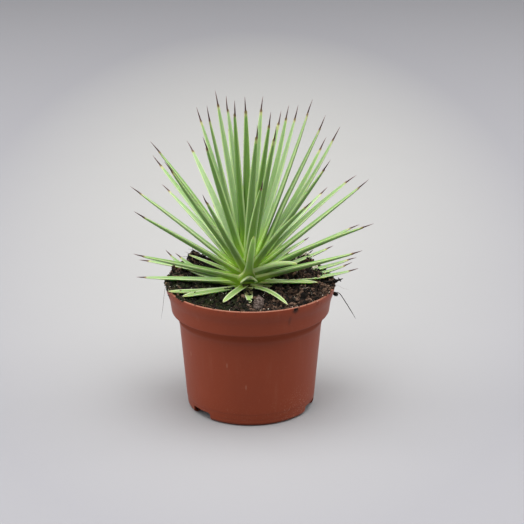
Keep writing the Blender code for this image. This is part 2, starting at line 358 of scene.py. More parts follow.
pot = {
    "height": 80.0 * mm,
    "wall": 1.0 * mm,
    "sides": 208,
    # Outside radius and height in millimetres, from the foot's corner to under the lip.
    "outline": (
        (40, 2.8), (40.25, 6.3), (40.55, 6.9), (41.4, 18), (42.3, 29), (43.15, 39), (43.9, 48),
        (44.25, 52.4), (44.5, 54.4), (44.75, 55.8), (45.15, 57.2), (45.75, 58.6), (46.55, 60), (47.45, 61.2),
        (48.35, 62.2), (49.05, 62.8), (49.25, 63.3), (49.35, 64.4), (49.6, 66.4), (50.05, 69.4), (50.5, 71.4),
        (51.3, 73.6), (52.05, 75.8), (52.4, 77.8), (52.5, 79.3),
    ),
    # Steps of the smoothed outline, and those kept: closer together at the band's shoulder and above.
    "steps": 300,
    "kept": ((0, 300, 8), (198, 246, 2), (246, 300, 3), (299, 300, 1)),
    "lipRound": 0.7 * mm,
    "footCorner": 2.8 * mm,
    "footRing": 4.0 * mm,
    "baseLift": 4.6 * mm,
    # Bevels of the inner corners, from the finest to the widest, and of the foot ring's inner edge.
    "bevels": (0.2 * mm, 0.3 * mm, 0.4 * mm),
    "ringBevel": (0.15 * mm, 0.25 * mm),
    "notchTurns": (-50, 70, 190),
    "notchSize": (16.0 * mm, 8.8 * mm, 5.0 * mm),
    "notchRound": 0.7 * mm,
    "drainRadius": 3.4 * mm,
    "drainRing": 20.0 * mm,
    "drainCount": 6,
    "sharp": 38,
    "colour": (0.215, 0.036, 0.011),
    # Dust colour, which also paints the highlight on the lip's top edge.
    "dustAndHighlight": (0.36, 0.19, 0.13),
    # The stain colour also lays the painted shade in the step under the band.
    "stain": (0.030, 0.016, 0.011),
    # Marks on the pot, placed in millimetres. Dust: where it fades out with height, and a patch
    # with its middle, its reach and how far in it is whole.
    "dustyFoot": (24, 3),
    "dustyPatch": ((30, -27, 6), 22, 4),
    # Smears of soil on the lip, with the height they start and end at, then each stain's middle and reach.
    "smears": (74.5, 79.5),
    "stains": (((27.2, -45.0, 77.8), 2.8), ((-49.5, -15.5, 75.0), 1.4), ((51.4, -5.0, 73.0), 1.6)),
    # The run of dirty water and the small pale scuffs; of their height only this share counts.
    "run": (23.8, -44.8, 12.8),
    "runHeight": 0.18,
    "scuffs": ((-36.5, -23.4, 12.5), (-14.0, -41.0, 12.3), (-2.5, -42.1, 8.1)),
    "scuffHeight": 0.3,
    # Faint rings near the foot, from the mould.
    "rings": ((7.4, 8.2), (3.6, 4.2)),
}


def potOutline(inset):
    # The side as a smooth line of (radius, height), moved in by inset.
    radii, heights = np.array(pot["outline"]).T * mm
    fine = np.linspace(heights[0], heights[-1], pot["steps"])
    line = np.interp(fine, heights, radii)
    kernel = np.hanning(7)
    padded = np.concatenate([2 * line[0] - line[3:0:-1], line, 2 * line[-1] - line[-2:-5:-1]])
    line = np.convolve(padded, kernel / kernel.sum(), "valid")
    kept = np.unique(np.concatenate([np.arange(*span) for span in pot["kept"]]))
    return [(line[index] - inset, fine[index]) for index in kept]


def innerWall(height):
    # Radius of the pot's inside at this height.
    radii, heights = np.array(pot["outline"]).T * mm
    return np.interp(height, heights, radii) - pot["wall"]


def roundTo(centre, radius, start, end, steps):
    angles = np.radians(np.linspace(start, end, steps + 1))
    return [(centre[0] + radius * math.cos(a), centre[1] + radius * math.sin(a)) for a in angles]


def potProfile():
    # The closed section of the wall, from the foot up outside, down inside and back under the base.
    wall, lift, corner, bead = pot["wall"], pot["baseLift"], pot["footCorner"], pot["lipRound"]
    foot, lip = pot["outline"][0][0] * mm, pot["outline"][-1][0] * mm
    fine, soft, wide = pot["bevels"]
    ringSide, ringRise = pot["ringBevel"]
    turning = (foot - corner, corner)
    ring = foot - corner - pot["footRing"]
    hole = pot["drainRadius"]
    outside = roundTo(turning, corner, -90, -6, 9) + potOutline(0)
    top = roundTo((lip - bead, pot["height"] - bead), bead, 10, 180, 10)
    inside = potOutline(wall)[::-1][3:] + roundTo(turning, corner - wall, -6, -90, 6)
    channel = [(ring + wall + soft, wall), (ring + wall, wall + soft), (ring + fine, lift + wall - soft),
               (ring - soft, lift + wall)]
    plate = [(hole + fine, lift + wall), (hole, lift + wall - fine), (hole, lift + fine), (hole + fine, lift)]
    under = [(ring - wall - wide, lift), (ring - wall, lift - wide), (ring - ringSide, ringRise),
             (ring + ringRise, 0)]
    return outside + top + inside + channel + plate + under


def spun(profile, sides):
    # A closed outline turned round Z.
    angles = np.arange(sides) * math.tau / sides
    radii, heights = np.array(profile).T
    points = np.stack([np.outer(np.cos(angles), radii), np.outer(np.sin(angles), radii),
                       np.tile(heights, (sides, 1))], 2).reshape(-1, 3)
    count = len(profile)
    faces = []
    for side in range(sides):
        here, there = side * count, (side + 1) % sides * count
        for step in range(count):
            after = (step + 1) % count
            faces.append((here + step, there + step, there + after, here + after))
    return points, faces


def potCutters():
    bm = bmesh.new()
    width, depth, height = pot["notchSize"]
    for turn in pot["notchTurns"]:
        made = bmesh.ops.create_cube(bm, size=1)
        bmesh.ops.scale(bm, verts=made["verts"], vec=(width, depth * 2, height * 2))
        edges = {edge for vert in made["verts"] for edge in vert.link_edges}
        made = bmesh.ops.bevel(bm, geom=list(edges), offset=pot["notchRound"], segments=3, affect="EDGES")
        block = list({vert for face in made["faces"] for vert in face.verts})
        bmesh.ops.rotate(bm, verts=block, cent=(0, 0, 0), matrix=Matrix.Rotation(math.radians(turn), 3, "Z"))
        bmesh.ops.translate(bm, verts=block, vec=toward(turn) * pot["outline"][0][0] * mm)
    for number in range(pot["drainCount"]):
        made = bmesh.ops.create_cone(bm, cap_ends=True, segments=40, radius1=pot["drainRadius"],
                                     radius2=pot["drainRadius"], depth=6 * pot["wall"])
        place = toward(number * 360 / pot["drainCount"]) * pot["drainRing"]
        place[2] = pot["baseLift"] + pot["wall"] / 2
        bmesh.ops.translate(bm, verts=made["verts"], vec=place)
    return meshOf(bm, "pot_cutters")


def potFinish():
    finish = Finish("terracotta plastic", Specular_IOR_Level=0.26)
    spot = finish.place()
    z = finish.split(spot)[2]
    streak = finish.grain(finish.stretch(spot, (1, 1, 0.12)), 7, 3, 0.6)
    cloud = finish.grain(spot, 26, 3, 0.55)
    finish.colour = finish.mix(cloud, shaded(pot["colour"], 0.90), shaded(pot["colour"], 1.10))
    finish.coat(finish.step(streak, 0.56, 0.78) * 0.07, pot["dustAndHighlight"])
    # Dust gathers low on the body and at the front on the right, in specks.
    speck = finish.step(finish.grain(spot, 0.9, 3, 0.7), 0.56, 0.68)
    middle, reach, whole = pot["dustyPatch"]
    patch = finish.step(finish.away(spot, middle), reach, whole)
    dusty = speck * (0.05 + 0.12 * finish.step(z, *pot["dustyFoot"]) + 0.80 * patch)
    finish.coat(dusty, pot["dustAndHighlight"])
    # Soil has smeared the lip, above all in a few places.
    smear = finish.step(finish.grain(spot, 5.5, 4, 0.65), 0.56, 0.70)
    grime = smear * finish.step(z, *pot["smears"]) * 0.55
    blur = finish.grain(spot, 2.2, 2) * 3
    for middle, reach in pot["stains"]:
        stain = finish.step(finish.away(spot, middle) + blur, reach + 1.6, reach - 0.6)
        grime = finish.maths("MAXIMUM", grime, stain * 0.85)
    finish.coat(grime, pot["stain"])
    # Painted shade in the step under the band, laid in the stain colour; the step is dulled there too.
    corner = finish.step(z, 53.5, 60.0) * finish.step(z, 63.3, 62.7)
    finish.coat(corner * 0.12, pot["stain"])
    # A run of dirty water under the stain at the front on the right.
    run = finish.away(finish.stretch(spot, (1, 1, pot["runHeight"])), pot["run"])
    finish.coat(finish.step(run + 0.35 * streak, 1.7, 0.6) * 0.35, pot["stain"])
    for middle in pot["scuffs"]:
        scuff = finish.away(finish.stretch(spot, (1, 1, pot["scuffHeight"])), middle)
        finish.coat(finish.step(scuff + 0.5 * cloud, 1.0, 0.5) * 0.30, pot["dustAndHighlight"])
    # Painted highlight along the lip's top edge, in the dust colour.
    finish.coat(finish.step(z, 79.35, 79.75) * 0.45, pot["dustAndHighlight"])
    scratch = finish.step(finish.grain(finish.stretch(spot, (1, 1, 3.5)), 1.6, 4, 0.7), 0.62, 0.75)
    rough = 0.41 + 0.10 * cloud + 0.14 * dusty + 0.35 * grime + 0.06 * scratch
    rough = finish.maths("MAXIMUM", rough, corner)
    peel = finish.bump(finish.grain(spot, 0.55, 2), 0.018 * mm)
    waves = finish.bump(finish.grain(finish.stretch(spot, (1, 1, 0.35)), 11, 2), 0.16 * mm, peel)
    upper, lower = [finish.step(z, *span) for span in pot["rings"]]
    relief = finish.bump(upper + lower, 0.10 * mm, waves)
    return finish.set(Base_Color=finish.colour, Roughness=rough, Normal=relief)


def makePot():
    shell = Bundle()
    shell.add(*spun(potProfile(), pot["sides"]))
    piece = shell.piece("pot_shell", potFinish(), "pot_plastic")
    cutter = placed("pot_cutters", potCutters())
    cut = piece.modifiers.new("openings", "BOOLEAN")
    cut.operation = "DIFFERENCE"
    cut.object = cutter
    applyModifiers(piece)
    bpy.data.objects.remove(cutter, do_unlink=True)
    piece.data.set_sharp_from_angle(angle=math.radians(pot["sharp"]))
    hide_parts("pot")
    tell(piece)


# Leaves

stem = {
    "x": -2.1 * mm,
    # Where leaves start: distance from the stem's middle and height, and how both change with lean.
    "rootInner": 2.0 * mm,
    "rootSpread": 3.0 * mm,
    "rootTop": 94.5 * mm,
    "rootFall": 14.0 * mm,
    # Share of the radius, and height in millimetres.
    "radius": 5.238 * mm,
    "outline": ((0.0, 66.5), (0.55, 67.1), (0.9, 70.5), (0.82, 78.5), (0.78, 84.0), (0.9, 90.0), (0.6, 97.0),
                (0.0, 100.0)),
    "sides": 40,
    "leastRadius": 0.05 * mm,
    # The stem turns dry and brown between these heights in millimetres, which is partly painted shade under
    # the leaves.
    "dry": (89, 85),
}

leaf = {
    "length": 106.0 * mm,
    "lengthLoss": 40.0 * mm,
    "width": 5.8 * mm,
    "widthVary": (0.94, 1.04),
    "baseFlare": 3.2 * mm,
    "flareReach": 0.075,
    # Width falls as (1 - along ** fall) ** round.
    "taper": (2.0, 0.68),
    # Marks along the leaf, and how many stations lie between each two of them.
    "marks": (-0.05, 0.12, 0.86, 0.920),
    "stations": (9, 29, 10),
    "endWidth": 0.75,
    # The section's upper and lower depth, its rim and how round its keel is, against half the width.
    "section": (0.50, 0.84, 0.05, 0.07),
    # The edges' lift all along, at the foot, and how far that reaches.
    "cup": (0.06, 0.42, 0.10),
    # Between these leans keels become deeper near the foot: by how much and how far.
    "keelLeans": (52, 74),
    "deepKeel": (0.60, 0.28),
    "seed": 11,
    "sway": 0.9 * mm,
    "twist": 14.0,
    "sharp": 62,
    # turn, lean, length against the usual for that lean, bend
    "upright": (
        (-134, 13, 1.03, 1), (-155, 16, 1, 3), (-29, 7, 1, 3), (-3, 4, 1, 3),
        (163, 17, 1, 4), (-132, 23, 1, 6), (-67, 13, 1, 1), (32, 14, 1, -1),
        (154, 28, 1, 4), (133, 19, 0.98, -8), (122, 20, 1, -3), (98, 20, 1.07, -4),
        (97, 26, 1.04, -2), (11, 19, 1, 1), (30, 19, 0.98, -8), (-33, 25, 1, 3),
    ),
    "sloping": (
        (124, 37, 0.98, -12), (104, 33, 1.05, -12), (56, 36, 1, 0), (112, 52, 1, 8),
        (88, 50, 1.03, 1), (138, 62, 1, 12), (33, 47, 1, 11), (71, 62, 1.04, 12),
        (9, 39, 1, 7), (-145, 43, 1, 5), (-86, 34, 1.01, 9),
        (-121, 46, 1, 0), (-52, 36, 1, -2), (-134, 60, 1, 8), (-98, 53, 0.98, 6),
        (-62, 55, 1, 2), (-21, 44, 1, -6),
    ),
    "low": (
        (148.5, 74.5, 0.98, 5), (114, 72, 1, 3), (147, 84, 1, 4), (131, 85, 1, -2),
        (62, 69, 1, -1), (108, 84, 0.98, -14), (104, 85, 0.93, -24), (97, 86, 0.96, -18),
        (-160, 66, 0.88, 4), (-62, 70, 0.97, 2), (-110, 86, 1, 6), (-90, 88, 0.95, 4),
        (-113, 78, 0.75, -60), (-119, 80, 0.69, -54),
    ),
    "rear": (
        (194, 30, 0.97, 10), (172, 36, 0.97, 4), (181, 44, 0.95, 4), (163, 50, 0.93, 4),
        (182, 57, 0.84, 4), (192, 64, 0.84, 4), (168, 70, 0.83, 4), (184, 77, 0.83, 4),
        (170, 84, 0.87, 2), (196, 84, 0.89, 2),
    ),
    # Turns of the low leaves whose inner ends lie in the peat, how deep, and where they come up.
    "sunk": (108, 104, 97),
    "sunkDepth": 3.4 * mm,
    "sunkReach": (0.46, 0.16),
    # How far the yellow foot reaches; where the pale margin starts and is whole; its strength.
    "footReach": 0.30,
    "margin": (0.70, 0.86),
    "marginStrength": 0.62,
    "foot": (0.45, 0.69, 0.07),
    "green": (0.200, 0.362, 0.082),
    "paleGreen": (0.300, 0.405, 0.220),
    "shadeAndMottleGreen": (0.136, 0.260, 0.046),
    "edge": (0.61, 0.73, 0.40),
    "footEdge": (0.80, 0.95, 0.40),
    "dry": (0.075, 0.055, 0.022),
    "tip": (0.48, 0.43, 0.20),
    "scorch": (0.140, 0.055, 0.026),
}

spine = {
    "start": 0.905,
    "stations": 12,
    "sides": 12,
    "radius": 0.56 * mm,
    "pointRadius": 0.08 * mm,
    "thinning": 0.85,
    "flatness": 0.9,
    "hook": 0.55 * mm,
    "sway": 0.12 * mm,
    "sharp": 60,
    "root": (0.052, 0.018, 0.015),
    "middle": (0.105, 0.048, 0.042),
    "tip": (0.270, 0.205, 0.190),
}

youngLeaf = {
    # A leaf that leans more than this starts lower.
    "lyingLean": 80,
    "drop": 2.2 * mm,
    # turn, lean, length, width, bend and kind
    "leaves": (
        (-110, 74, 0.036, 0.0040, 4, "lens"), (6, 44.5, 0.0533, 0.0047, 5, "front"),
        (50, 66.1, 0.0390, 0.0088, 26, "arched"), (8, 56, 0.0100, 0.0106, 50, "scale"),
        (94, 87, 0.045, 0.0056, 2, "strap"), (86, 88, 0.039, 0.0060, 8, "strap"),
        (-64, 84.3, 0.0483, 0.0050, -10.7, "blunt"), (-56, 86, 0.042, 0.0056, 4, "blunt"),
        (-24, 90, 0.0295, 0.0051, 12, "lens"), (33, 87.4, 0.0409, 0.0043, 35, "low"),
        (4, 92, 0.0235, 0.0056, 10, "buried"),
    ),
    # What each kind has beyond the usual: a flared foot, lifted edges, paleness, a tapered end,
    # a lower or higher start, a share of its length darkened to brown, a step outward, and an end that is all
    # margin.
    "usual": {"flare": 0, "flareReach": 0.12, "cup": 0.10, "pale": 0.55, "taper": 0, "drop": 0, "dry": 0,
              "step": 0, "paleEnd": 2},
    "kinds": {
        "strap": {"flare": 1.0 * mm, "drop": -0.8 * mm},
        "low": {"flare": 0.5 * mm, "pale": 0.28, "taper": 0.6, "drop": 1.4 * mm},
        "blunt": {"flare": 0.5 * mm, "pale": 0.28, "taper": -0.8, "drop": 1.9 * mm},
        "lens": {"taper": 0.35},
        "front": {"flare": 7.4 * mm, "flareReach": 0.09, "cup": -0.22, "pale": 1.30, "taper": 0.4,
                  "drop": 2.4 * mm, "step": 2.7 * mm},
        "arched": {"flare": 2.0 * mm, "cup": 0.50, "pale": 0, "taper": 1},
        "scale": {"cup": -0.64, "pale": 0, "drop": 4.2 * mm, "step": 0.8 * mm, "paleEnd": 0.80},
        "buried": {"pale": 0.75, "taper": 0.6, "drop": 0.6 * mm, "dry": 0.70},
    },
    "marks": (-0.05, 0.8, 1),
    "stations": (22, 13),
    # Place along the leaf, width of a blunt leaf and of a tapered one.
    "shape": ((0.0, 0.90, 1.0), (0.15, 0.90, 1.0), (0.45, 1.0, 0.88), (0.70, 0.95, 0.66), (0.86, 0.76, 0.47),
              (0.94, 0.50, 0.32), (0.98, 0.28, 0.18), (1.0, 0.12, 0.08)),
    "section": (0.16, 0.52, 0.08, 0.35),
    # Extra lift of the edges at the foot and how far it reaches.
    "footCup": (0.30, 0.3),
    "dryFade": 0.2,
    # The margin stays narrow where the foot is wide: by how much and how far.
    "narrowing": (1.4, 0.14),
    "footReach": 0.26,
    "margin": (0.58, 0.76),
    "marginStrength": 0.90,
    "sharp": 62,
    "green": (0.35, 0.53, 0.15),
}

# Half of a leaf's section, from its edge to its keel.
sectionHalf = np.array([1.0, 0.95, 0.86, 0.70, 0.50, 0.30, 0.13])


def leafSection(upperDepth, lowerDepth, rim, keelRound):
    # Across and up the section, both against half the width, once round it, and which side is the upper.
    def rise(across, depth, power):
        keel = np.sqrt(across ** 2 + keelRound ** 2) - (math.sqrt(1 + keelRound ** 2) - 1)
        return rim + (depth - rim) * (1 - np.minimum(keel, 1)) ** power

    across = np.concatenate([sectionHalf, [0.0], -sectionHalf[::-1]])
    xs = np.concatenate([across, across[::-1]])
    ys = np.concatenate([rise(across, upperDepth, 0.92), -rise(across, lowerDepth, 0.80)[::-1]])
    return xs, ys, np.repeat([1.0, 0.0], len(across))


def leafLine(turn, lean, length, bend, along, drop=0):
    # Middle line, crosswise direction and upper side of a leaf that bends evenly about its mean lean.
    outward = toward(turn)
    share = min(lean / 90, 1)
    root = outward * (stem["rootInner"] + stem["rootSpread"] * share)
    root = root + np.array([stem["x"], 0, stem["rootTop"] - stem["rootFall"] * share ** 1.2 - drop])
    start = math.radians(lean - bend / 2)
    curve = math.radians(bend or 0.01)
    tilt = start + curve * along
    reach = length / curve * (math.cos(start) - np.cos(tilt))
    climb = length / curve * (np.sin(tilt) - math.sin(start))
    centre = root + np.outer(reach, outward) + np.outer(climb, up)
    upper = np.outer(np.sin(tilt), up) - np.outer(np.cos(tilt), outward)
    forward = np.outer(np.sin(tilt), outward) + np.outer(np.cos(tilt), up)
    return centre, np.cross(forward, upper), upper


def placesAlong(marks, counts):
    spans = [np.linspace(low, high, count) for low, high, count in zip(marks, marks[1:], counts)]
    return np.concatenate(spans[:1] + [span[1:] for span in spans[1:]])


def leafWidth(along):
    along = np.maximum(along, 0)
    fall, rounding = leaf["taper"]
    body = leaf["width"] * (1 - along ** fall) ** rounding
    return body + leaf["baseFlare"] * np.exp(-along / leaf["flareReach"])


def usualLength(lean):
    return leaf["length"] - leaf["lengthLoss"] * (min(lean, 90) / 90) ** 1.5


def swept(centre, across, upper, half, section, cup, keel):
    # Sweeps the leaf's section; cup lifts its edges towards the upper side, keel deepens its underside.
    xs, ys, _ = section
    deep = np.where(ys[None, :] < 0, ys[None, :] * keel[:, None], ys[None, :])
    lift = deep + cup[:, None] * xs[None, :] ** 2
    points = centre[:, None, :] + across[:, None, :] * (xs[None, :, None] * half[:, None, None])
    return points + upper[:, None, :] * (lift * half[:, None])[:, :, None]


def makeLeaf(bundle, spines, draw, turn, lean, scale, bend, pale):
    along = placesAlong(leaf["marks"], leaf["stations"])
    length = usualLength(lean) * scale
    centre, across, upper = leafLine(turn, lean, length, bend, along)
    if turn in leaf["sunk"]:
        centre[:, 2] -= leaf["sunkDepth"] * eased(along, *leaf["sunkReach"])
    sway = draw.uniform(-1, 1) * leaf["sway"] * np.sin(math.pi * along)
    twist = np.radians(draw.uniform(-1, 1) * leaf["twist"] * along)[:, None]
    centre = centre + across * sway[:, None]
    crosswise = across * np.cos(twist) + upper * np.sin(twist)
    upward = upper * np.cos(twist) - across * np.sin(twist)
    half = leafWidth(along) / 2 * draw.uniform(*leaf["widthVary"])
    half[-1] *= leaf["endWidth"]
    steady, footed, reach = leaf["cup"]
    cup = footed * np.exp(-np.maximum(along, 0) / reach) + steady
    deeper, reach = leaf["deepKeel"]
    keel = 1 + eased(lean, *leaf["keelLeans"]) * deeper * np.exp(-np.maximum(along, 0) / reach)
    section = leafSection(*leaf["section"])
    points = swept(centre, crosswise, upward, half, section, cup, keel)
    rings, sides = points.shape[:2]
    tone = draw.random()
    across, side = np.tile(section[0], rings), np.tile(section[2], rings)
    bundle.add(points.reshape(-1, 3), tubeFaces(rings, sides), along=np.repeat(along, sides), across=across,
               side=side, tone=tone, pale=pale, old=0.0)
    addSpine(spines, draw, turn, lean, length, bend, tone)


def addSpine(bundle, draw, turn, lean, length, bend, tone):
    # The spine carries the leaf's line on, a little bent.
    reach = np.linspace(spine["start"], 1, spine["stations"])
    centre, across, upper = leafLine(turn, lean, length, bend, reach)
    part = (reach - reach[0]) / (1 - reach[0])
    hook = np.array([draw.uniform(-1, 1), draw.uniform(-1, 1)]) * spine["hook"]
    centre = centre + across * (hook[0] * part ** 2)[:, None] + upper * (hook[1] * part ** 2)[:, None]
    centre = centre + across * (draw.uniform(-1, 1) * spine["sway"] * np.sin(math.pi * part))[:, None]
    radii = spine["pointRadius"] + (spine["radius"] - spine["pointRadius"]) * (1 - part) ** spine["thinning"]
    sides = spine["sides"]
    points = tubePoints(centre, across, upper * spine["flatness"], radii, sides)
    bundle.add(points, tubeFaces(len(reach), sides), along=np.repeat(part, sides), tone=tone)


def makeYoungLeaf(bundle, draw, turn, lean, length, width, bend, kind):
    kind = {**youngLeaf["usual"], **youngLeaf["kinds"][kind]}
    along = placesAlong(youngLeaf["marks"], youngLeaf["stations"])
    drop = kind["drop"] + (youngLeaf["drop"] if lean > youngLeaf["lyingLean"] else 0)
    centre, across, upper = leafLine(turn, lean, length, bend, along, drop)
    centre = centre + toward(turn) * kind["step"]
    places, blunt, tapered = np.array(youngLeaf["shape"]).T
    half = np.interp(along, places, blunt + (tapered - blunt) * kind["taper"]) * width / 2
    half = half + kind["flare"] / 2 * np.exp(-along / kind["flareReach"])
    footed, reach = youngLeaf["footCup"]
    cup = footed * np.exp(-along / reach) + kind["cup"]
    section = leafSection(*youngLeaf["section"])
    points = swept(centre, across, upper, half, section, cup, np.ones(len(along)))
    rings, sides = points.shape[:2]
    along = np.repeat(along, sides)
    old = eased(along, kind["dry"], kind["dry"] - youngLeaf["dryFade"]) if kind["dry"] else 0.0
    amount, reach = youngLeaf["narrowing"]
    margin = np.abs(np.tile(section[0], rings)) ** (1 + amount * np.exp(-np.maximum(along, 0) / reach))
    margin = np.where(along > kind["paleEnd"], 1.0, margin)
    bundle.add(points.reshape(-1, 3), tubeFaces(rings, sides), along=along, across=margin,
               side=np.tile(section[2], rings), tone=draw.random(), pale=kind["pale"], old=old)


def leafFinish(name, young):
    finish = Finish(name, roughness=0.42, Specular_IOR_Level=0.3, Subsurface_Weight=0.35,
                    Subsurface_Scale=0.0035, Subsurface_Radius=(0.55, 1.0, 0.18))
    kind = youngLeaf if young else leaf
    along, across, side, tone, pale = map(finish.mark, ("along", "across", "side", "tone", "pale"))
    spot = finish.place()
    # Fine veins run along the leaf; broader streaks vary slowly.
    strip = finish.join(across * 3.0, along * 1.4, tone * 40)
    veins = finish.grain(finish.join(across * 9.0, along * 0.9, tone * 40), 1.0, 2)
    streaks = finish.grain(strip, 1.0, 3, 0.6)
    mottle = finish.grain(spot, 3.2, 3, 0.6)
    # Painted shade: by the side mark the underside is laid darker green and the upper side lighter.
    finish.colour = finish.mix(0.15 + 0.55 * side, leaf["shadeAndMottleGreen"], leaf["green"])
    finish.coat(pale * (0.45 + 0.45 * side), leaf["paleGreen"])
    finish.coat((finish.step(streaks, 0.40, 0.72) + tone * 0.5 - 0.2) * 0.32, leaf["paleGreen"])
    finish.coat(finish.step(mottle, 0.50, 0.75) * 0.22, leaf["shadeAndMottleGreen"])
    if young:
        finish.coat(pale * 0.9, youngLeaf["green"])
    foot = finish.step(along, kind["footReach"], 0.04)
    finish.coat(foot * 0.80, leaf["foot"])
    edge = finish.step(finish.maths("ABSOLUTE", across) + (veins - 0.5) * 0.05, *kind["margin"])
    edgeColour = finish.mix(foot, leaf["edge"], leaf["footEdge"])
    finish.coat(edge * (kind["marginStrength"] + 0.3 * foot), edgeColour)
    # Dry brown where the mesh is marked old: dry leaf bases on the stem, which also stand in as painted shade
    # under the leaves, and the darkened inner end of the buried leaf.
    finish.coat(finish.mark("old") * 0.9, leaf["dry"])
    if young:
        finish.coat(finish.step(along, 0.88, 1.0) * 0.5, leaf["tip"])
    else:
        end = finish.step(along + (mottle - 0.5) * 0.10 + tone * 0.02, 0.885, 0.915)
        finish.coat(end * 0.7, leaf["tip"])
        scorch = finish.step(along + (streaks - 0.5) * 0.02, 0.893, 0.912)
        finish.coat(scorch * 0.8, leaf["scorch"])
    # Small corky dots and scars.
    dots = finish.step(finish.cells(spot, 4.2), 0.085, 0.055) * finish.step(mottle, 0.5, 0.6)
    finish.coat(dots * 0.5, leaf["scorch"])
    rough = 0.36 + 0.14 * streaks + 0.12 * edge
    skin = finish.bump(finish.grain(spot, 0.35, 2), 0.012 * mm, finish.bump(veins, 0.10 * mm))
    return finish.set(Base_Color=finish.colour, Roughness=rough, Normal=skin)


def spineFinish():
    finish = Finish("dry spine", roughness=0.5)
    along = finish.mark("along")
    spot = finish.place()
    grain = finish.grain(finish.join(along * 6, finish.mark("tone") * 50, 0), 1.0, 2)
    stops = [(0.0, leaf["scorch"]), (0.10, spine["root"]), (0.45, spine["root"]), (0.72, spine["middle"]),
             (1.0, spine["tip"])]
    colour = finish.ramp(along + (grain - 0.5) * 0.25, stops)
    relief = finish.bump(finish.grain(spot, 0.3, 2), 0.03 * mm)
    return finish.set(Base_Color=colour, Roughness=0.42 + 0.2 * grain, Normal=relief)


def makeStem(bundle):
    sides = stem["sides"]
    shares, heights = np.array(stem["outline"]).T
    fine = np.linspace(0, len(shares) - 1, sides)
    shares = np.interp(fine, range(len(shares)), shares)
    heights = np.interp(fine, range(len(heights)), heights)
    radii = np.maximum(shares * stem["radius"], stem["leastRadius"])
    middle = np.column_stack([np.full(sides, stem["x"]), np.zeros(sides), heights * mm])
    crosswise, backward = np.tile([1.0, 0, 0], (sides, 1)), np.tile([0, 1.0, 0], (sides, 1))
    points = tubePoints(middle, crosswise, backward, radii, sides)
    old = np.repeat(eased(heights, *stem["dry"]), sides)
    bundle.add(points, tubeFaces(sides, sides), along=0.0, across=0.0, side=1.0, tone=0.5, pale=0.0, old=old)


def makeRosette():
    draw = random.Random(leaf["seed"])
    blades, spines, young = Bundle(), Bundle(), Bundle()
    makeStem(blades)
    for turn, lean, scale, bend in leaf["upright"] + leaf["sloping"] + leaf["low"] + leaf["rear"]:
        # Leaves on the far side are paler.
        behind = (1 - math.cos(math.radians(turn))) / 2
        makeLeaf(blades, spines, draw, turn, lean, scale, bend, behind * draw.uniform(0.5, 1.0))
    blades = blades.piece("agave_leaves", leafFinish("agave leaf", False), "leaf", leaf["sharp"])
    spines = spines.piece("leaf_spines", spineFinish(), "leaf", spine["sharp"])
    for row in youngLeaf["leaves"]:
        makeYoungLeaf(young, draw, *row)
    young = young.piece("young_leaves", leafFinish("young leaf", True), "leaf", youngLeaf["sharp"])
    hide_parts("rosette")
    tell(blades, spines, young)


# Peat

peat = {
    "rings": 84,
    "sides": 470,
    "stemClear": 5.4 * mm,
    # The packed soil is read between the stem's hole and its own outer edge.
    "hole": 7.6 * mm,
    "edge": 49.6 * mm,
    # The bed reaches this far but keeps a gap to the wall, whose radius is taken at most at this height.
    "reach": 51.2 * mm,
    "gap": 0.25 * mm,
    "wallTop": 79.2 * mm,
    # Heights of the rings that close the bed outside, and of the one that closes it at the stem.
    "skirts": (0.068, 0.056, 0.048, 0.020, 0.006),
    "innerFoot": 0.070,
    # Size and rise of the relief in millimetres: soft lumps, then round clods with creases between them.
    "lumps": ((7.0, 1.4), (2.8, 1.2), (1.3, 0.9)),
    "clods": ((5.2, 2.6), (2.3, 2.0)),
    "lowered": 1.0 * mm,
    # Loose peat over the three low leaves on the right, in millimetres: middle, half widths and top,
    # then how far out it ends and is whole, against the half widths.
    "cover": ((27.0, 8.5), (15.0, 6.5), 85.0),
    "coverEdge": (1.75, 0.55),
    "seed": 23,
    "dark": (0.0070, 0.0055, 0.0046),
    "brown": (0.060, 0.034, 0.023),
    "tan": (0.190, 0.118, 0.080),
    "pale": (0.56, 0.50, 0.42),
    "cream": (0.82, 0.77, 0.64),
    "moss": (0.026, 0.043, 0.009),
    # Where moss fades in across and towards the front, in millimetres, and its strength.
    "mossAcross": (6, -10),
    "mossBack": (12, 0),
    "mossStrength": 0.52,
}


def soilGround():
    # Gives the height of the packed soil at a place, read straight down.
    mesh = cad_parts["soil"].data
    faces = [tuple(face.vertices) for face in mesh.polygons]
    tree = BVHTree.FromPolygons([point.co.copy() for point in mesh.vertices], faces)

    def ground(x, y):
        across = x - stem["x"]
        reach = math.hypot(across, y)
        if reach < peat["hole"]:
            grow = peat["hole"] / max(reach, 1e-6)
            x, y = stem["x"] + across * grow, y * grow
        x, y = within(x, y, peat["edge"])
        return tree.ray_cast(Vector((x, y, 0.2)), Vector((0, 0, -1)))[0].z

    return ground


def peatRelief(x, y):
    rise = -peat["lowered"]
    for size, deep in peat["lumps"]:
        rise += noise.noise(Vector((x, y, size * mm)) / (size * mm)) * deep * mm
    for size, deep in peat["clods"]:
        rise += abs(noise.noise(Vector((x, y, 0.0)) / (size * mm))) * deep * mm
    return rise


def peatHeight(ground, x, y):
    height = ground(x, y)
    (across, back), (wide, deep), top = peat["cover"]
    far = math.hypot((x / mm - across) / wide, (y / mm - back) / deep)
    height += max(top * mm - height, 0) * eased(far, *peat["coverEdge"])
    return height + peatRelief(x, y)


def roomInside(height, gap):
    # How far from the axis something may lie at this height.
    return innerWall(min(height, peat["wallTop"])) - gap


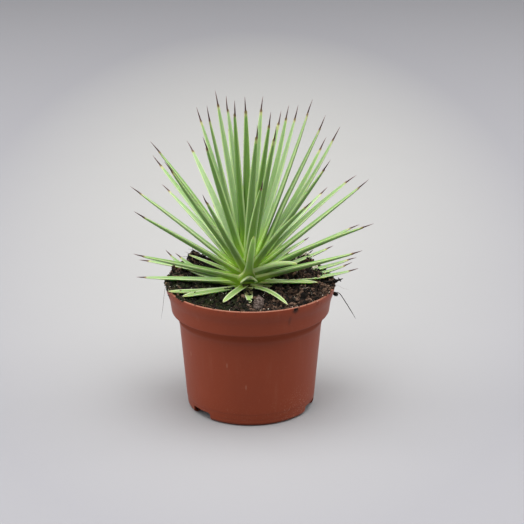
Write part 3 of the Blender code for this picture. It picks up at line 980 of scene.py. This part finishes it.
def makePeatBed(ground, finish):
    rings, sides = peat["rings"], peat["sides"]
    points, relief = [], []
    for ring in range(rings):
        for side in range(sides):
            angle = math.tau * side / sides
            direction = np.array([math.cos(angle), math.sin(angle)])
            inner = direction * peat["stemClear"] + np.array([stem["x"], 0])
            x, y = inner + (direction * peat["reach"] - inner) * ring / (rings - 1)
            height = peatHeight(ground, x, y)
            relief.append(peatRelief(x, y) / mm)
            points.append((*within(x, y, roomInside(height, peat["gap"])), height))
    top = np.array(points).reshape(rings, sides, 3)
    direction = top[-1, :, :2] / np.linalg.norm(top[-1, :, :2], axis=1)[:, None]
    skirts = [np.column_stack([direction * roomInside(height, peat["gap"]), np.full(sides, height)])
              for height in peat["skirts"]]
    first = top[0].copy()
    first[:, 2] = peat["innerFoot"]
    shape = np.concatenate([first[None], top, np.array(skirts)])
    relief = np.concatenate([np.zeros(sides), relief, np.zeros(len(skirts) * sides)])
    bundle = Bundle()
    bundle.add(shape.reshape(-1, 3), tubeFaces(len(shape), sides), relief=relief)
    bed = bundle.piece("peat_bed", finish, "peat")
    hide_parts("soil")
    tell(bed)


def addMoss(finish, spot, x, y):
    # Green growth at the front on the left, in patches.
    moss = finish.step(finish.grain(spot, 4.0, 4, 0.7), 0.44, 0.58) * finish.step(x, *peat["mossAcross"])
    finish.coat(moss * finish.step(y, *peat["mossBack"]) * peat["mossStrength"], peat["moss"])


def peatFinish():
    finish = Finish("moist peat", roughness=0.9, Specular_IOR_Level=0.2)
    spot = finish.place()
    x, y, _ = finish.split(spot)
    fine = finish.grain(spot, 0.7, 4, 0.7)
    right = finish.step(x, -8, 38)
    # Painted shade in the hollows of the bed and painted light on its crests: dark low down, brown high up,
    # browner on the right.
    high = finish.step(finish.mark("relief") + (fine - 0.5) * 2.2, 0.0, 1.6)
    finish.colour = finish.mix(high * (0.25 + 0.75 * right), peat["dark"], peat["brown"])
    strand = finish.step(finish.grain(finish.stretch(spot, (1, 0.3, 1)), 0.9, 3, 0.6), 0.62, 0.70)
    finish.coat(strand * high * (0.15 + 0.75 * right), peat["tan"])
    addMoss(finish, spot, x, y)
    fleck = finish.step(finish.cells(spot, 2.3), 0.09, 0.05)
    finish.coat(fleck * 0.7, peat["pale"])
    wet = finish.step(finish.grain(spot, 1.5, 3), 0.56, 0.66)
    relief = finish.bump(fine, 0.8 * mm)
    return finish.set(Base_Color=finish.colour, Roughness=0.95 - 0.5 * wet, Normal=relief)


def crumbFinish():
    finish = Finish("peat crumb", roughness=0.9, Specular_IOR_Level=0.2)
    spot = finish.place()
    x, y, _ = finish.split(spot)
    grain = finish.grain(spot, 0.45, 3, 0.7)
    stops = [(0.0, peat["dark"]), (0.25, peat["dark"]), (0.55, peat["brown"]), (0.84, peat["tan"]),
             (0.94, peat["pale"]), (1.0, peat["cream"])]
    finish.colour = finish.ramp(finish.mark("tone") + (grain - 0.5) * 0.4, stops)
    addMoss(finish, spot, x, y)
    rough = 0.95 - 0.35 * finish.step(grain, 0.55, 0.7)
    return finish.set(Base_Color=finish.colour, Roughness=rough, Normal=finish.bump(grain, 0.3 * mm))


# Crumbs and fibres on the peat; tones run from dark at 0 over brown and tan to cream at 1

crumb = {
    "count": 7600,
    # Inner radius and width of the ring they lie in, and sizes: the least and how much the few largest
    # add, in millimetres, and how few those are.
    "ring": (7.5, 43.3),
    "sizes": (0.26, 1.15, 3.0),
    # Crumbs above this size get a finer shape.
    "big": 0.84 * mm,
    "dents": (0.60, 1.30),
    "stretch": ((0.7, 2.0), (0.6, 1.1), (0.4, 0.9)),
    "sharp": 50,
    # x, y, radius, count, least and largest crumb, and rise over the bed, in millimetres
    "heaps": {
        "leftBlock": (-46, 13, 5.0, 90, (0.5, 1.5), 2.0),
        "leftBack": (-38, 33, 4.0, 110, (0.5, 1.3), 1.6),
        "back": (19.5, 43.0, 4.0, 50, (0.5, 1.5), 2.2),
        "rightBack": (34, 33, 7.5, 200, (0.5, 1.5), 3.0),
        "coverFront": (27, 4.5, 7.0, 200, (0.4, 1.3), 0.8),
        "rightLeaves": (36, 17, 8.0, 170, (0.5, 1.4), 3.4),
        "right": (43, 4, 7.0, 130, (0.4, 1.3), 1.4),
        "frontRight": (24, -22, 13.0, 190, (0.5, 1.9), 0.9),
        "frontLeft": (-24, -28, 12.0, 110, (0.4, 1.3), 0.8),
        "overLeaf": (-1, -13.2, 4.4, 130, (0.5, 1.3), 3.2),
        "overRoots": (-13, -9.5, 5.0, 110, (0.5, 1.3), 2.6),
    },
    # On the pot's lip: radii in millimetres, then first and last turn, count, least and largest crumb.
    "lipRadii": (50.2, 53.0),
    "lip": ((-135, -84, 330, 0.35, 1.3), (-84, -69, 150, 0.35, 1.1), (-59, -50, 80, 0.35, 1.1),
            (-52, 56, 34, 0.2, 0.5), (56, 76, 60, 0.25, 0.7), (76, 122, 260, 0.35, 1.0),
            (122, 225, 200, 0.35, 1.1)),
    # Crumbs of the heaps and the lip have this share of their sizes above.
    "shrink": 0.7,
}

fibre = {
    "count": 1250,
    "steps": 9,
    # Millimetres: length, arch over the peat, least height over it, radius and how far out they lie.
    "length": (2.5, 9.0),
    "arch": (0.1, 0.9),
    "clear": 0.1,
    "radius": (0.05, 0.13),
    "reach": 50.3,
    "wander": 0.35,
    # Share of thick ones and how much thicker they are.
    "thick": (0.25, 2.0),
    "sharp": 70,
    "strandSides": 5,
    # Places along a strand and its thickness there.
    "thinning": ((0, 0.15, 0.7, 1), (0.7, 1, 0.9, 0.3)),
}


def icoShape(splits):
    bm = bmesh.new()
    bmesh.ops.create_icosphere(bm, subdivisions=splits, radius=1)
    points = np.array([vert.co for vert in bm.verts])
    faces = [[vert.index for vert in face.verts] for face in bm.faces]
    bm.free()
    return points, faces


def addCrumb(bundle, draw, shape, place, size, tone):
    # One lump, squashed, turned and dented at random.
    points, faces = shape
    dents = np.array([draw.uniform(*crumb["dents"]) for _ in points])
    stretch = np.array([draw.uniform(*span) for span in crumb["stretch"]])
    axes = np.linalg.qr(np.array([[draw.gauss(0, 1) for _ in range(3)] for _ in range(3)]))[0]
    lump = (points * dents[:, None] * stretch) @ axes * size
    bundle.add(lump + np.array(place), faces, tone=tone)


def addStrand(bundle, path, radius, tone, sides):
    # A thin round strand along a path, thinner towards both ends.
    path = np.asarray(path, float)
    forward = np.gradient(path, axis=0)
    forward /= np.linalg.norm(forward, axis=1)[:, None]
    helper = np.where(np.abs(forward[:, 2:3]) < 0.9, up[None], np.array([[1.0, 0, 0]]))
    first = np.cross(forward, helper)
    first /= np.linalg.norm(first, axis=1)[:, None]
    radii = radius * np.interp(np.linspace(0, 1, len(path)), *fibre["thinning"])
    points = tubePoints(path, first, np.cross(forward, first), radii, sides)
    bundle.add(points, tubeFaces(len(path), sides), tone=tone)


def crumbSpot(draw):
    # Anywhere on the peat, more often towards the wall.
    angle = draw.uniform(0, math.tau)
    inner, width = crumb["ring"]
    reach = (inner + width * math.sqrt(draw.random())) * mm
    return reach * math.cos(angle), reach * math.sin(angle)


def crumbTone(draw, x, y, size):
    # Browner on the right, darker on the left, with a few small pale bits.
    x, y = x / mm, y / mm
    if size < 0.45 * mm and draw.random() < 0.05 + 0.20 * eased(x, -14, -34):
        return draw.uniform(0.86, 1.0)
    brown = 0.08 + 0.28 * eased(x, -20, 30) + 0.20 * eased(x, -38, -46)
    brown += 0.16 * eased(x, 6, 16) * eased(y, -4, -10)
    brown += 0.16 * eased(math.hypot(x, y), 38, 48) * eased(y, -20, 10)
    return draw.uniform(0.38, 0.84) if draw.random() < brown else draw.uniform(0.0, 0.34)


def makeCrumbs(ground, finish):
    draw = random.Random(peat["seed"])
    shapes = icoShape(1), icoShape(2)
    grains, lumps = Bundle(), Bundle()

    def lay(x, y, size, lift):
        # One crumb on the peat, kept inside the wall.
        height = peatHeight(ground, x, y) + lift
        drop(*within(x, y, roomInside(height, size)), height, size)

    def drop(x, y, height, size):
        big = size > crumb["big"]
        tone = crumbTone(draw, x, y, size)
        addCrumb(lumps if big else grains, draw, shapes[big], (x, y, height), size, tone)

    least, more, few = crumb["sizes"]
    for _ in range(crumb["count"]):
        x, y = crumbSpot(draw)
        size = (least + more * draw.random() ** few) * mm
        lay(x, y, size, size * draw.uniform(-0.2, 0.5))
    for across, back, radius, count, sizes, rise in crumb["heaps"].values():
        for _ in range(count):
            angle = draw.uniform(0, math.tau)
            reach = radius * math.sqrt(draw.random())
            x, y = (across + reach * math.cos(angle)) * mm, (back + reach * math.sin(angle)) * mm
            size = draw.uniform(*sizes) * mm * crumb["shrink"]
            lay(x, y, size, rise * mm * (1 - reach / radius) * draw.random() + size * 0.3)
    for first, last, count, least, most in crumb["lip"]:
        for _ in range(count):
            size = draw.uniform(least, most) * mm * crumb["shrink"]
            x, y, _ = toward(draw.uniform(first, last)) * draw.uniform(*crumb["lipRadii"]) * mm
            drop(x, y, pot["height"] + size * draw.uniform(0.0, 0.8), size)
    for bundle, name in ((grains, "peat_grains"), (lumps, "peat_crumbs")):
        tell(bundle.piece(name, finish, "peat", crumb["sharp"]))


def makeFibres(ground, finish):
    draw = random.Random(peat["seed"] + 1)
    bundle = Bundle()
    steps = fibre["steps"]
    thickShare, thicker = fibre["thick"]
    for _ in range(fibre["count"]):
        x, y = crumbSpot(draw)
        heading = draw.uniform(0, math.tau)
        length = draw.uniform(*fibre["length"]) * mm
        arch = draw.uniform(*fibre["arch"]) * mm
        path = []
        for step in range(steps):
            hover = arch * math.sin(math.pi * step / (steps - 1)) * draw.uniform(0.8, 1.2)
            path.append((x, y, peatHeight(ground, x, y) + hover + fibre["clear"] * mm))
            heading += draw.gauss(0, fibre["wander"])
            x += length / steps * math.cos(heading)
            y += length / steps * math.sin(heading)
            x, y = within(x, y, fibre["reach"] * mm)
        # Browner towards the right.
        tone = min(1.0, max(0.0, draw.gauss(0.36 + 5.0 * x, 0.25)))
        thick = thicker if draw.random() < thickShare else 1.0
        addStrand(bundle, path, draw.uniform(*fibre["radius"]) * thick * mm, tone, fibre["strandSides"])
    tell(bundle.piece("peat_fibres", finish, "peat", fibre["sharp"]))


# Bits that the photograph shows one by one, in millimetres

debris = {
    # Path, radius and tone
    "strands": (
        (((53.8, -3, 74.2), (55.3, -3, 73.8), (56.9, -3, 71.5), (58.8, -3, 68.5), (61.6, -3, 63.9),
          (64, -3, 59.8), (65.6, -3, 56.8)), 0.26, 0.18),
        (((34.2, 34, 83.8), (36.4, 34, 86.5), (38, 34, 87.8), (39.9, 34, 89.7)), 0.42, 0.05),
        (((-49.8, -8, 79.6), (-52.6, -8.6, 80), (-53.4, -9, 73), (-54.2, -9.2, 66),
          (-55.4, -9.4, 58.6)), 0.09, 0.5),
        (((-30.5, -34.5, 78), (-27.5, -38.5, 79.2), (-24, -42.5, 80), (-21.5, -46.5, 80.4)), 0.12, 0.8),
        (((-37, 36, 85), (-37.4, 36.6, 89), (-38.2, 37, 92.2)), 0.1, 0.62),
        (((-36, 36, 85), (-35.4, 36.6, 88.6), (-35.9, 37, 91.5)), 0.09, 0.7),
        (((-38, 34, 84.5), (-40.5, 34.5, 87.5), (-42.4, 34.5, 88.2)), 0.09, 0.66),
        (((-33, 36, 85), (-33.4, 36.8, 88), (-32.4, 37, 90.4)), 0.1, 0.3),
        (((-39.5, 33, 83.5), (-41.5, 33.5, 85.5), (-44, 33, 85.4)), 0.1, 0.25),
        (((-35, 36, 86), (-37.5, 36.4, 88.8), (-40.4, 36.2, 89.6)), 0.1, 0.2),
        (((51, -6, 80.6), (54, -7, 80.4), (57.5, -8, 78.6), (61, -8.6, 78)), 0.05, 0.7),
    ),
    "strandSides": 8,
    "stick": (((46, -5, 81.4), (50, -5, 82.1), (54.5, -5, 82.9), (57.2, -5, 84.1)), 0.62, 0.03),
    "stickSides": 10,
    # Dark lumps on the stick, hanging from the rim and on the lip: place and size
    "stickLumps": ((51.5, -5, 82.2, 0.85), (53.2, -5.1, 82.6, 1.05), (55.2, -5, 83.2, 0.8),
                   (49, -5, 81.6, 0.9)),
    "hangingCrumb": (52.8, -3.4, 73.3, 2.6),
    "lipLumps": ((26.9, -45.5, 79, 0.8), (28.1, -44.9, 79.2, 0.5), (-49.6, -16, 79.6, 0.9),
                 (-49.9, -16.6, 77, 0.5), (-52, 3, 79.8, 0.9), (-53.2, 1, 79, 0.5),
                 (-52.8, 5, 80.6, 0.7)),
    "lumpTone": (0, 0.2),
    # Small pale specks that lie on the peat: x, y and size
    "specks": ((-46, -9, 0.55), (-44.5, -11, 0.5), (-45.2, -6, 0.45), (-40.5, -4, 0.5),
               (-36.5, -6.5, 0.4), (-33, -5, 0.4), (-30, -8, 0.35), (-38.6, 1, 0.45),
               (-25, -3, 0.35)),
    "speckTone": (0.92, 1),
    "speckLift": 0.5,
    # Bits of bark and grit by the chip: x, y, size and tone, and the share of their size they stand up
    "bits": ((-4.3, -18, 1.3, 0.8), (-4, -16.9, 0.8, 0.72), (-1.1, -31.8, 0.85, 0.84),
             (0.3, -33.6, 0.75, 0.82), (-2.4, -34.6, 0.5, 0.95), (-7, -30, 0.35, 1), (-5.2, -35.5, 0.35, 1),
             (11.5, -33, 0.9, 0.82)),
    "bitLift": 0.6,
    # Cream grit and the starts of pale roots at the back on the right and under the low leaves
    "paleBits": ((28.6, 35, 84.4, 0.8), (30, 35, 85.6, 1), (32.2, 34.5, 85.4, 0.9), (33.6, 35, 86.8, 0.8),
                 (35.4, 35, 86.2, 0.9), (36.8, 35, 85, 0.7), (31, 35, 87, 0.6), (40.4, 14, 84.8, 0.7)),
    "paleRoots": ((27.5, 35, 83.5), (28.6, 35, 85.3), (30.3, 35, 86.4), (32.3, 35, 85), (34.1, 35, 87),
                  (36, 35, 85.6), (37.4, 34, 84.5), (30, 33, 84.5), (39.6, 13, 84.6), (41.6, 15.4, 84.8)),
    "rootsEach": 4,
    "rootLength": (2, 4.5),
    "rootArch": (0.5, 2),
    "rootEnd": (-0.5, 1),
    "rootDepth": 1.5,
    "rootRadius": (0.22, 0.42),
    "rootTone": (0.94, 1.1),
    "rootSides": 6,
    "sharp": 60,
}


def smoothPath(points, steps=20):
    # A soft curve through the points, in metres.
    points = np.array(points, float)
    places = np.linspace(0, len(points) - 1, steps)
    line = np.stack([np.interp(places, range(len(points)), points[:, k]) for k in range(3)], 1)
    for _ in range(3):
        line[1:-1] = (line[:-2] + 2 * line[1:-1] + line[2:]) / 4
    return line * mm


def addPaleRoot(bundle, draw, x, y, z):
    heading = draw.uniform(0, math.tau)
    reach = draw.uniform(*debris["rootLength"])
    across, back = reach * math.cos(heading), reach * math.sin(heading)
    middle = (x + 0.5 * across, y + 0.5 * back, z + draw.uniform(*debris["rootArch"]))
    end = (x + across, y + back, z + draw.uniform(*debris["rootEnd"]))
    path = smoothPath(((x, y, z - debris["rootDepth"]), middle, end), 10)
    radius = draw.uniform(*debris["rootRadius"]) * mm
    addStrand(bundle, path, radius, draw.uniform(*debris["rootTone"]), debris["rootSides"])


def makeDebris(ground, finish):
    draw = random.Random(peat["seed"] + 2)
    small, large = icoShape(2), icoShape(3)
    bundle = Bundle()

    def put(x, y, height, size, tone, shape=large):
        addCrumb(bundle, draw, shape, (x * mm, y * mm, height), size * mm, tone)

    for path, radius, tone in debris["strands"]:
        addStrand(bundle, smoothPath(path), radius * mm, tone, debris["strandSides"])
    path, radius, tone = debris["stick"]
    addStrand(bundle, smoothPath(path), radius * mm, tone, debris["stickSides"])
    for x, y, z, size in debris["stickLumps"] + (debris["hangingCrumb"],) + debris["lipLumps"]:
        put(x, y, z * mm, size, draw.uniform(*debris["lumpTone"]))
    for x, y, size in debris["specks"]:
        height = peatHeight(ground, x * mm, y * mm) + debris["speckLift"] * mm
        put(x, y, height, size, draw.uniform(*debris["speckTone"]), small)
    for x, y, size, tone in debris["bits"]:
        put(x, y, peatHeight(ground, x * mm, y * mm) + debris["bitLift"] * size * mm, size, tone)
    for x, y, z, size in debris["paleBits"]:
        put(x, y, z * mm, size, 1.0)
    for place in debris["paleRoots"]:
        for _ in range(debris["rootsEach"]):
            addPaleRoot(bundle, draw, *place)
    tell(bundle.piece("loose_bits", finish, "peat", debris["sharp"]))


# Chip of bark that lies on the peat in front

chip = {
    "voxel": 0.16 * mm,
    "layerSize": 1.3 * mm,
    "layerShift": 3.7,
    "relief": 0.40 * mm,
    "sharp": 32,
    # Corners of the splinter in millimetres: its crest, its shoulders, its foot and its back.
    "corners": ((5.3, -34, 84.2), (8.6, -34.4, 81.2), (2.3, -34, 80.4), (5.9, -37, 80.8), (5, -38, 75.5),
                (1.8, -35.2, 75.2), (8.1, -35.8, 75.4), (4, -31, 79.4), (7.6, -31.6, 78.4),
                (5.5, -30.8, 75.2)),
    "dark": (0.046, 0.030, 0.024),
    "middle": (0.180, 0.128, 0.105),
    "pale": (0.460, 0.390, 0.345),
}


def chipFinish():
    finish = Finish("bark", roughness=0.85)
    spot = finish.place()
    layers = finish.grain(finish.stretch(spot, (0.5, 0.9, 2.2)), 1.1, 4, 0.65)
    fine = finish.grain(spot, 0.4, 3, 0.6)
    stops = [(0.0, chip["dark"]), (0.42, chip["dark"]), (0.52, chip["middle"]), (0.70, chip["pale"])]
    colour = finish.ramp(layers * 0.75 + fine * 0.25, stops)
    relief = finish.bump(layers, 0.5 * mm, finish.bump(fine, 0.12 * mm))
    return finish.set(Base_Color=colour, Roughness=0.75 + 0.2 * fine, Normal=relief)


def makeChip():
    # A block between the corners, made of fine cells and roughened in slanting layers.
    bm = bmesh.new()
    for corner in chip["corners"]:
        bm.verts.new(Vector(corner) * mm)
    bmesh.ops.convex_hull(bm, input=bm.verts)
    piece = addPiece("chip_of_bark", meshOf(bm, "chip_of_bark"), chipFinish())
    cells = piece.modifiers.new("cells", "REMESH")
    cells.mode = "VOXEL"
    cells.voxel_size = chip["voxel"]
    applyModifiers(piece)
    for point in piece.data.vertices:
        spot = point.co / chip["layerSize"] + Vector((chip["layerShift"], 0, 0))
        layered = Vector((spot.x * 0.45 + spot.z * 0.5, spot.y * 0.8, spot.z * 1.5 - spot.x * 0.9))
        push = (noise.fractal(layered, 0.7, 2.3, 5) - 0.35) * chip["relief"]
        point.co += point.normal * push
    piece.data.set_sharp_from_angle(angle=math.radians(chip["sharp"]))
    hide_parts("bark_chip")
    tell(piece)


makeStudio()
makePot()
makeRosette()
ground = soilGround()
makePeatBed(ground, peatFinish())
crumbs = crumbFinish()
makeCrumbs(ground, crumbs)
makeFibres(ground, crumbs)
makeDebris(ground, crumbs)
makeChip()
